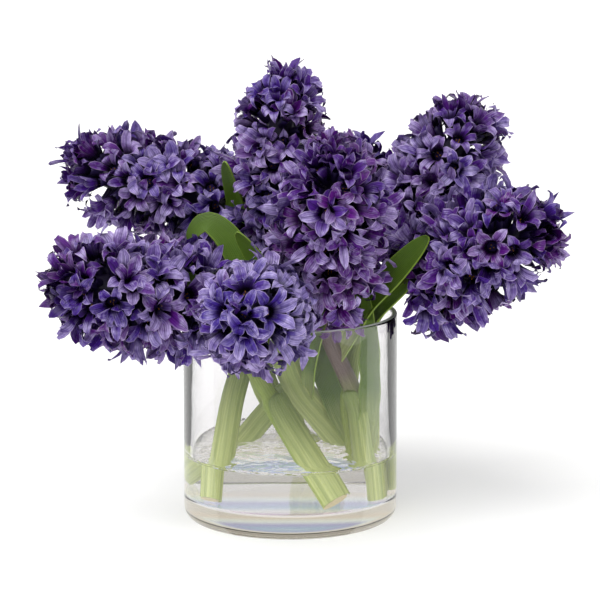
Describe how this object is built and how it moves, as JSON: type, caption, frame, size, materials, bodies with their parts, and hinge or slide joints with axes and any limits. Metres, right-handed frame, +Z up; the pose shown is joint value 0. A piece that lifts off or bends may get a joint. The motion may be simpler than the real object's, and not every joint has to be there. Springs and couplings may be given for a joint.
{
  "type": "hyacinth flower",
  "caption": "Bunch of cut violet hyacinths in a heavy clear glass cylinder vase of water, their full heads leaning out over the rim.",
  "frame": {"origin": "middle of the vase's flat underside", "axes": "+Z up along the vase's axis, -Y towards the viewer of the picture, +X to the viewer's right"},
  "size_m": [0.3124, 0.2887, 0.269],
  "materials": {
    "glass": "clear polished soda-lime glass",
    "water": "clear still water",
    "leafy": "satin green scape and strap leaves",
    "petal": "waxy violet petals"
  },
  "bodies": {
    "root": {"vase": "glass", "water": "water", "leafy_stem_front": "leafy", "leafy_stem_centre": "leafy", "leafy_stem_left_low": "leafy", "leafy_stem_right_low": "leafy", "leafy_stem_right_high": "leafy", "leafy_stem_top": "leafy", "leafy_stem_left_high": "leafy", "leafy_stem_back_right": "leafy", "leafy_stem_back": "leafy", "flower_head_front": "petal", "flower_head_centre": "petal", "flower_head_left_low": "petal", "flower_head_right_low": "petal", "flower_head_right_high": "petal", "flower_head_top": "petal", "flower_head_left_high": "petal", "flower_head_back_right": "petal", "flower_head_back": "petal"}
  },
  "joints": []
}
